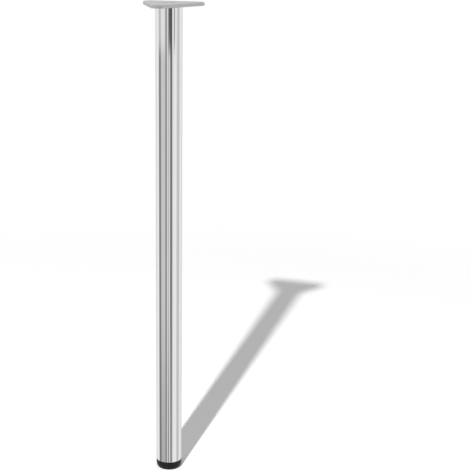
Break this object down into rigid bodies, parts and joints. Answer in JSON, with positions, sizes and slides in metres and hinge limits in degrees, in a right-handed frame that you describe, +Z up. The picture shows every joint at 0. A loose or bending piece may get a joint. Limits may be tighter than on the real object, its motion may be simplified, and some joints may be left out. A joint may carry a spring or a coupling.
{
  "type": "height adjustable table leg",
  "caption": "Round chromed tube table leg with a three-cornered screw-on mounting plate at the top and a black screw foot that adjusts the height at the bottom.",
  "frame": {"origin": "on the floor, in the middle of the foot's sole, with the foot screwed right in", "axes": "+Z up the tube to the mounting plate; one corner of the plate points at 270 degrees, along -Y"},
  "size_m": [0.142, 0.128, 1.1],
  "materials": {
    "chromed_tube": "bright chrome on polished steel tube",
    "plate_steel": "satin nickel plated pressed steel",
    "zinc_fasteners": "bright zinc plated steel",
    "insert_plastic": "moulded black nylon",
    "cap_plastic": "satin moulded black plastic",
    "glide_plastic": "dull hard-wearing black plastic"
  },
  "bodies": {
    "leg": {"leg_tube": "chromed_tube", "mounting_plate": "plate_steel", "plate_nut": "zinc_fasteners", "tube_cup": "plate_steel", "tube_bolt": "zinc_fasteners", "foot_insert": "insert_plastic", "insert_nut": "zinc_fasteners"},
    "glide": {"glide_disc": "glide_plastic"},
    "screw_foot": {"foot_cap": "cap_plastic", "foot_bolt": "zinc_fasteners", "cap_washer": "zinc_fasteners", "jam_nut": "zinc_fasteners"}
  },
  "joints": [
    {"name": "foot_height", "type": "slide", "parent": "leg", "child": "glide", "axis": [0, 0, -1], "range_m": [0, 0.02]},
    {"name": "foot_turn", "type": "hinge", "parent": "glide", "child": "screw_foot", "pos_m": [0, 0, 0], "axis": [0, 0, -1], "range_deg": [0, 4800]}
  ],
  "couplings": [
    {"joint": "foot_height", "follows": "foot_turn", "m_per_rad": 0.00023873}
  ]
}
